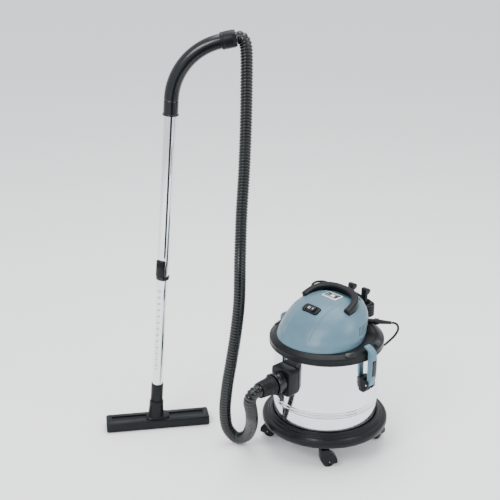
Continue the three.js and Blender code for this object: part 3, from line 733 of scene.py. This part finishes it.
def cover_point(turn, around, inset, floor):
    """A point of the leaning cover; turn climbs from the foot to the top and around goes round it."""
    r = math.cos(turn) ** (2 / COVER_POWER)
    z = (COVER_HEIGHT - inset) * math.sin(turn) ** (2 / COVER_POWER)
    x = r * (COVER_HALF_WIDTH - inset) * math.cos(around)
    y = r * (COVER_HALF_LENGTH - inset) * math.sin(around) + COVER_FOOT_Y + COVER_LEAN * z / COVER_HEIGHT
    return Vector((x, y, floor + z))


def smooth_step(value):
    value = min(1, max(0, value))
    return value * value * (3 - 2 * value)


def pressed(p, floor):
    """The point p with the lip groove and the low sides beside the middle band pressed into it."""
    z = p.z - floor
    core = Vector((0, p.y * CORE_Y_SHARE + COVER_FOOT_Y, floor + z * CORE_Z_SHARE))
    depth = max(0, 1 - abs(z - LIP_GROOVE_Z) / LIP_GROOVE_HALF) * LIP_GROOVE_DEPTH
    beside = smooth_step((abs(p.x) - BAND_HALF_WIDTH) / BAND_EDGE)
    depth += BAND_RISE * (beside * smooth_step((z - BAND_START) / BAND_FADE))
    return p + (core - p).normalized() * depth


def cover_solid(inset, floor, detailed):
    """The leaning cover as a closed solid, plain or with its pressed-in detail."""
    vertices = [VACUUM @ (Vector((0, COVER_FOOT_Y, floor)) * MM)]
    for i in range(COVER_RINGS):
        turn = math.pi / 2 * (i / COVER_RINGS) ** RING_SPREAD
        for j in range(COVER_SIDES):
            p = cover_point(turn, 2 * math.pi * j / COVER_SIDES, inset, floor)
            if detailed:
                p = pressed(p, floor)
            vertices.append(VACUUM @ (p * MM))
    vertices.append(VACUUM @ (cover_point(math.pi / 2, 0, inset, floor) * MM))
    top = 1 + (COVER_RINGS - 1) * COVER_SIDES
    faces = []
    for j in range(COVER_SIDES):
        m = (j + 1) % COVER_SIDES
        faces.append((0, 1 + m, 1 + j))
        for i in range(COVER_RINGS - 1):
            a = 1 + i * COVER_SIDES
            b = a + COVER_SIDES
            faces.append((a + j, a + m, b + m, b + j))
        faces.append((top + j, top + m, len(vertices) - 1))
    return vertices, faces


def arch_outline(grow, steps=44):
    """The carry handle's horseshoe, grown by a clearance."""
    out = CARRY_HALF + grow
    inn = CARRY_HALF - CARRY_BAND - grow
    outer = []
    inner = []
    for i in range(steps + 1):
        turn = math.pi * i / steps
        c, s = math.cos(turn), max(0, math.sin(turn))
        x = math.copysign(abs(c) ** CARRY_POWER, c)
        back = s ** CARRY_POWER
        outer.append((out * x, (CARRY_REACH + grow) * back))
        inner.append((inn * x, (CARRY_REACH - CARRY_BAND - grow) * back))
    foot = -CARRY_ENDS - grow
    return outer + [(-out, foot), (-inn, foot)] + inner[::-1] + [(inn, foot), (out, foot)]


def arch_place(grow):
    foot = VACUUM @ shift(0, CARRY_Y, CARRY_Z) @ turned(CARRY_TILT, "X")
    return foot @ shift(0, 0, -CARRY_THICK / 2 - grow)


def cylinder_along_x(radius, y, z, reach):
    points = []
    for i in range(SCOOP_SIDES):
        turn = 2 * math.pi * i / SCOOP_SIDES
        points.append((radius * math.cos(turn), radius * math.sin(turn)))
    return prism(points, 2 * reach, VACUUM @ shift(-reach, y, z) @ turned(90, "Y"))


def room(name, size, corner, depth, place):
    """A cutter for a rounded rectangular piece with its clearance."""
    outline = rounded_rectangle(size[0] + 2 * GAP, size[1] + 2 * GAP, corner)
    return cutter(name, *prism(outline, depth, place))


def cover_hollow():
    hollow = cutter("hollow", *cover_solid(COVER_WALL + DETAIL_DEPTH, COVER_FLOOR - 2, False))
    bpy.context.scene.collection.objects.link(hollow)
    grown_scoop = cylinder_along_x(SCOOP_R + COVER_WALL, SCOOP_Y, SCOOP_Z, SCOOP_REACH + COVER_WALL)
    carve(hollow, [cutter("scoop_in", *grown_scoop)])
    tool = bpy.data.objects.new("hollow_tool", hollow.data)
    bpy.data.objects.remove(hollow)
    return tool


def louvre_cutters():
    tools = []
    for side in (-1, 1):
        for i in range(LOUVRE_COUNT):
            place = VACUUM @ shift(side * LOUVRE_X, LOUVRE_Y + LOUVRE_PITCH * i, LOUVRE_Z)
            outline = rounded_rectangle(*LOUVRE_SIZE, LOUVRE_CORNER, 3)
            tools.append(cutter("louvre", *prism(outline, LOUVRE_HEIGHT, place)))
    return tools


def make_cover():
    vertices, faces = cover_solid(0, COVER_FLOOR, True)
    mesh = bpy.data.meshes.new("cover")
    mesh.from_pydata([tuple(v) for v in vertices], [], faces)
    cover = finish_piece("cover", mesh, blue, "head", "blue_plastic", ["head_cover"])
    hollow_tool = cover_hollow()
    carve(cover, [
        cutter("scoop_out", *cylinder_along_x(SCOOP_R, SCOOP_Y, SCOOP_Z, SCOOP_REACH)),
        hollow_tool,
        cutter("arch_room", *prism(arch_outline(GAP), CARRY_THICK + 2 * GAP, arch_place(GAP))),
        room("bezel_room", BEZEL_SIZE, BEZEL_CORNER, 40, SWITCH @ shift(0, 0, -20)),
        room("label_room", LABEL_SIZE, LABEL_CORNER, 20, VACUUM @ shift(0, LABEL_Y, LABEL_SEAT_Z)),
        *louvre_cutters(),
    ])
    soften(cover, 0.5, 38)


def make_arch():
    arch = prism(arch_outline(0), CARRY_THICK, arch_place(0))
    handle = piece("handle_arch", *arch, black, "head", "black_plastic", ["carry_handle"])
    soften(handle, 4.5, 50, 4)


def make_lid_pad(side_name, latch_turn, end_name, end):
    """A shallow rounded pad beside a latch, on the lid's sloping shoulder."""
    around = Matrix.Rotation(latch_turn + end * math.radians(PAD_TURN), 4, "Z")
    place = VACUUM @ around @ shift(PAD_R, 0, PAD_Z) @ turned(PAD_SLOPE, "Y")
    outline = rounded_rectangle(*PAD_SIZE, PAD_CORNER)
    pad = piece(f"lid_pad_{side_name}_{end_name}", *prism(outline, PAD_THICK, place), black_gloss,
                "head", "black_plastic")
    soften(pad, 1.0)


def make_lid():
    lathe("lid_ring", [
        (97, 331), (156.5, 331), (156.5, 322), (158, 319), (161.5, 318.5), (164, 321), (164, 326),
        (163.2, 327), (163.2, 328), (164, 329), (164, 337), (162.5, 340), (150, 347.2), (146, 348),
        (140, 348), (139.4, 347), (137.6, 347), (137, 348), (97, 348),
    ], VACUUM, black, "head", "black_plastic", ["lid"], 0.8, 160)
    refined("lid_seal", rubber, "head", 0.5)
    for side_name, latch_turn in (("right", 0), ("left", math.pi)):
        for end_name, end in (("front", -1), ("rear", 1)):
            make_lid_pad(side_name, latch_turn, end_name, end)


def flat_ring(outer, inner, low, high, place, sides=40):
    """Vertices and faces of a flat ring in the place's XY plane."""
    vertices = []
    for height in (low, high):
        for radius in (outer, inner):
            for i in range(sides):
                turn = 2 * math.pi * i / sides
                local = Vector((radius * math.cos(turn), radius * math.sin(turn), height)) * MM
                vertices.append(place @ local)
    low_in, high_out, high_in = sides, 2 * sides, 3 * sides
    faces = []
    for i in range(sides):
        k = (i + 1) % sides
        faces.append((high_out + i, high_out + k, high_in + k, high_in + i))
        faces.append((i, low_in + i, low_in + k, k))
        faces.append((i, k, high_out + k, high_out + i))
        faces.append((low_in + i, high_in + i, high_in + k, low_in + k))
    return vertices, faces


def make_switch():
    refined("switch_bezel", black, "head", 0.8)
    refined("rocker_switch", black_gloss, "switch", 0.7)
    # the off ring and the on bar, raised a hair over the rocker's two slopes
    off_place = SWITCH @ shift(-7.6, 0, 5.8) @ turned(9.1, "Y")
    on_place = SWITCH @ shift(7.6, 0, 7.4) @ turned(-19.8, "Y")
    off_mark = flat_ring(3.6, 2.6, -0.3, 0.25, off_place)
    on_mark = prism(rounded_rectangle(1.3, 7.4, 0.5), 0.5, on_place)
    piece("switch_off_mark", *off_mark, mark, "switch", "label")
    piece("switch_on_mark", *on_mark, mark, "switch", "label")


def make_label():
    refined("label_plate", white, "head", 0.5)
    place = VACUUM @ shift(0, LABEL_Y, LABEL_FIELD_Z)
    outline = rounded_rectangle(*LABEL_FIELD_SIZE, 2)
    field = piece("label_field", *prism(outline, 0.6, place), label_field, "head", "label")
    soften(field, 0.2)
    for i, (x, y, width, depth) in enumerate(LABEL_BARS):
        bar = prism(rounded_rectangle(width, depth, 0.5), 0.3, place @ shift(x, y, 0.5))
        piece(f"label_bar_{i + 1}", *bar, mark, "head", "label")


def make_rack():
    lathe("strain_relief", [
        (0, -27), (7.5, -27), (7.5, 14), (9.5, 15), (9.5, 27), (7, 28.5), (6.9, 32), (6.2, 32.6), (6.2, 34.6),
        (6.6, 35.2), (6.4, 39), (5.7, 39.6), (5.7, 41.6), (6.1, 42.2), (5.9, 46), (5.2, 46.6), (5.2, 48.6),
        (5.5, 49.2), (5.2, 54), (4.7, 54.6), (4.7, 56.6), (5, 57.2), (4.4, 64), (0, 64),
    ], GLAND, sheath, "head", "cord_rubber", ["cord_gland"], 0.4, 40)
    for side in ("left", "right"):
        refined(f"cord_hook_{side}", black, "head", 1.6)


make_cover()
make_arch()
make_lid()
make_switch()
make_label()
make_rack()

# ---------- inside the head ----------


def make_inside():
    refined("filter_cage", black, "head", 0.6)
    lathe("filter_sleeve", [(61, 234), (72, 234), (72, 322), (61, 322)], HEAD, foam, "head", "foam",
          ["foam_filter"], 2.0, 96)
    lathe("float_body", [(0, 240), (16, 240), (22, 246), (22, 268), (14, 280), (0, 282)], HEAD, white,
          "float", "float_plastic", ["float_cup"], 2.0, 64)
    refined("fan_housing", alloy, "head", 0.5)
    refined("motor_can", alloy, "head", 0.5)
    refined("impeller", alloy, "rotor", 0.4)
    refined("motor_rotor", copper, "rotor", 0.4)


make_inside()

# ---------- wand ----------

HANDLE_FOOT = 962
HANDLE_BEND = 1006
HANDLE_BEND_R = 172
HANDLE_TURN = math.radians(73.6)
HANDLE_R, HANDLE_BORE_R, HANDLE_SIDES = 20.5, 18.4, 64
FLANGE_R, FLANGE_EDGE_R, FLANGE_LENGTH = 22.5, 22.0, 5
SEAM_R = 19.9                       # the shallow groove just before the bend
FINE_STEP, COARSE_STEP = 0.7, 3.2
TUBE_JOINT = 488
UPPER_R, UPPER_BORE_R, UPPER_TOP = 17.5, 16.5, 1000
LOWER_R, LOWER_WALL = 15.2, 1.0
LOWER_FOOT, LOWER_TOP, LOWER_EDGE = 96, 552, 0.4
SLIDER_ANGLE = math.radians(-114)
FIRST_DENT_Z, DENT_PITCH, DENT_COUNT = 190, 20, 14
DENT_HALF_LENGTH, DENT_HALF_WIDTH, DENT_DEPTH = 5.0, 4.6, 2.6


def handle_stations():
    """Distances along the handle, close together at its flange, seam and end."""
    straight = HANDLE_BEND - HANDLE_FOOT
    total = straight + HANDLE_BEND_R * HANDLE_TURN
    stations = []
    s = 0.0
    while s < total:
        stations.append(s)
        detailed = s < 8 or abs(s - straight + 2) < 4 or total - s < 6
        s += FINE_STEP if detailed else COARSE_STEP
    stations.append(total)
    return stations


def handle_point(turn):
    """A point of the handle's arc in the wand's frame."""
    x = HANDLE_BEND_R * (1 - math.cos(turn))
    return Vector((x, 0, HANDLE_BEND + HANDLE_BEND_R * math.sin(turn)))


def make_handle():
    straight = HANDLE_BEND - HANDLE_FOOT
    stations = handle_stations()
    centres = []
    for s in stations:
        local = Vector((0, 0, HANDLE_FOOT + s))
        if s > straight:
            local = handle_point((s - straight) / HANDLE_BEND_R)
        centres.append(WAND @ (local * MM))

    def outer_at(i):
        s = stations[i]
        if s < FLANGE_LENGTH:
            return (FLANGE_R if 0.6 < s < FLANGE_LENGTH - 0.4 else FLANGE_EDGE_R) * MM
        if straight - 3.4 < s < straight - 0.6:
            return SEAM_R * MM
        return HANDLE_R * MM

    swept_shell("wand_handle", centres, outer_at, HANDLE_BORE_R * MM, HANDLE_SIDES, black_gloss,
                "wand", "black_plastic", ["bent_handle"])
    end = WAND @ Matrix.Translation(handle_point(HANDLE_TURN) * MM) @ Matrix.Rotation(HANDLE_TURN, 4, "Y")
    lathe("hose_collar", [
        (15, -18), (17.2, -18), (17.2, 0.3), (23, 0.3), (24, 2), (24, 7), (23.3, 8), (23.3, 10), (24, 11),
        (24, 34), (23.4, 36), (22.5, 41), (15, 41),
    ], end, black, "root", "black_plastic", ["hose_handle_collar"], 0.6, 80)


def dent_depth(turn, z):
    """How deep the lower tube is dented at one place: a row of soft dents behind the slider."""
    off = (turn - SLIDER_ANGLE + math.pi) % (2 * math.pi) - math.pi
    nearest = min(DENT_COUNT - 1, max(0, round((z - FIRST_DENT_Z) / DENT_PITCH)))
    along = (z - FIRST_DENT_Z - DENT_PITCH * nearest) / DENT_HALF_LENGTH
    side = off * LOWER_R / DENT_HALF_WIDTH
    return DENT_DEPTH / (1 + (along * along + side * side) ** 3)


def lower_tube_heights():
    """Ring heights of the lower tube, close together along its dents."""
    heights = [LOWER_FOOT, LOWER_FOOT + LOWER_EDGE]
    while heights[-1] < 450:
        heights.append(heights[-1] + (1.6 if 182 < heights[-1] < 458 else 12))
    return heights + [500, LOWER_TOP - LOWER_EDGE, LOWER_TOP]


def make_lower_tube():
    heights = lower_tube_heights()
    sides = 96
    vertices = []
    for inner in (0.0, LOWER_WALL):
        for z in heights:
            for j in range(sides):
                turn = 2 * math.pi * j / sides
                radius = LOWER_R - inner - dent_depth(turn, z)
                local = Vector((radius * math.cos(turn), radius * math.sin(turn), z)) * MM
                vertices.append(WAND @ local)
    layer = len(heights) * sides
    top = (len(heights) - 1) * sides
    faces = []
    for j in range(sides):
        m = (j + 1) % sides
        for i in range(len(heights) - 1):
            a, b = i * sides, (i + 1) * sides
            faces.append((a + j, a + m, b + m, b + j))
            faces.append((layer + a + m, layer + a + j, layer + b + j, layer + b + m))
        faces.append((j, layer + j, layer + m, m))
        faces.append((top + j, top + m, layer + top + m, layer + top + j))
    piece("chrome_lower", vertices, faces, chrome, "lower_wand", "tube_chrome", ["lower_tube"], 60)


def make_tubes():
    lathe("chrome_upper", [
        (UPPER_BORE_R, TUBE_JOINT), (UPPER_R, TUBE_JOINT), (UPPER_R, UPPER_TOP), (UPPER_BORE_R, UPPER_TOP),
    ], WAND, chrome, "wand", "tube_chrome", ["upper_tube"], 0.3, 96)
    lathe("tube_ring", [
        (15.5, 480), (18, 480), (19.5, 482), (19.5, 492), (17.8, 492), (17.8, 487.7), (15.5, 487.7),
    ], WAND, black_gloss, "wand", "black_plastic", ["tube_end_ring"], 0.5, 80)
    refined("lock_slider", black, "slider", 0.9)
    make_lower_tube()


def make_nozzle():
    lathe("nozzle_sleeve", [
        (15.5, 97), (15.5, 141), (17.6, 141), (18.2, 139), (18.2, 86.5), (16, 86.5), (16, 60), (13, 60),
        (13, 93), (15.5, 93),
    ], WAND, black, "lower_wand", "black_plastic", ["nozzle_neck"], 0.5, 72)
    refined("nozzle_body", black, "nozzle", 1.2, 34)
    for node in ("nozzle_strip_front", "nozzle_strip_rear"):
        refined(node, rubber, "nozzle", 0.8)


make_handle()
make_tubes()
make_nozzle()

# ---------- floor and light ----------


FLOOR_HALF = 14
CARD_FOOT = 0.27
CARDS = (                           # name, x, y, width, top and turn
    ("card_wand", -0.05, -0.34, 0.30, 1.15, 30),
    ("card_drum", 1.15, -0.75, 0.5, 0.5, 60),
)


def add_staged(name, corners, material):
    """One flat sheet of the studio, which isn't part of the object."""
    mesh = bpy.data.meshes.new(name)
    mesh.from_pydata([tuple(corner) for corner in corners], [], [(0, 1, 2, 3)])
    mesh.materials.append(material)
    thing = bpy.data.objects.new(name, mesh)
    bpy.context.scene.collection.objects.link(thing)
    return thing


def make_stage():
    floor_material, floor_shader = new_material("floor", (0.94, 0.94, 0.94), 0.8)
    roughness = spread(floor_material, noise(floor_material, 3.0), 0.7, 0.85)
    floor_material.node_tree.links.new(roughness, floor_shader.inputs["Roughness"])
    signs = ((-1, -1), (1, -1), (1, 1), (-1, 1))
    add_staged("floor", [(sx * FLOOR_HALF, sy * FLOOR_HALF, 0) for sx, sy in signs], floor_material)
    card_material, _ = new_material("dark_card", (0.015, 0.018, 0.025), 0.9)
    for name, x, y, width, top, turn in CARDS:
        # only reflections see a card: it makes a dark stripe on the chrome tubes
        place = Matrix.Translation((x, y, 0)) @ turned(turn, "Z")
        ends = ((-1, CARD_FOOT), (1, CARD_FOOT), (1, top), (-1, top))
        card = add_staged(name, [place @ Vector((sx * width / 2, 0, z)) for sx, z in ends], card_material)
        card.visible_diffuse = False
        card.visible_shadow = False
        card.visible_camera = False


def add_area_light(name, location, target, size, power):
    data = bpy.data.lights.new(name, "AREA")
    data.shape = "RECTANGLE"
    data.size, data.size_y = size
    data.energy = power
    light = bpy.data.objects.new(name, data)
    light.location = location
    light.rotation_euler = (Vector(target) - Vector(location)).to_track_quat("-Z", "Y").to_euler()
    bpy.context.scene.collection.objects.link(light)


def make_light():
    world = bpy.data.worlds.new("studio")
    bpy.context.scene.world = world
    world.use_nodes = True
    background = world.node_tree.nodes["Background"]
    background.inputs["Color"].default_value = (0.94, 0.97, 1.0, 1)
    background.inputs["Strength"].default_value = 1.35
    add_area_light("key", (-1.6, -2.4, 3.0), (0.1, 0, 0.4), (1.6, 1.2), 95)
    add_area_light("fill", (2.6, -1.4, 2.2), (0.1, 0, 0.4), (1.2, 2.0), 36)
    add_area_light("top", (0.2, 0.6, 3.4), (0.1, 0, 0.3), (2.4, 2.4), 80)


make_stage()
make_light()
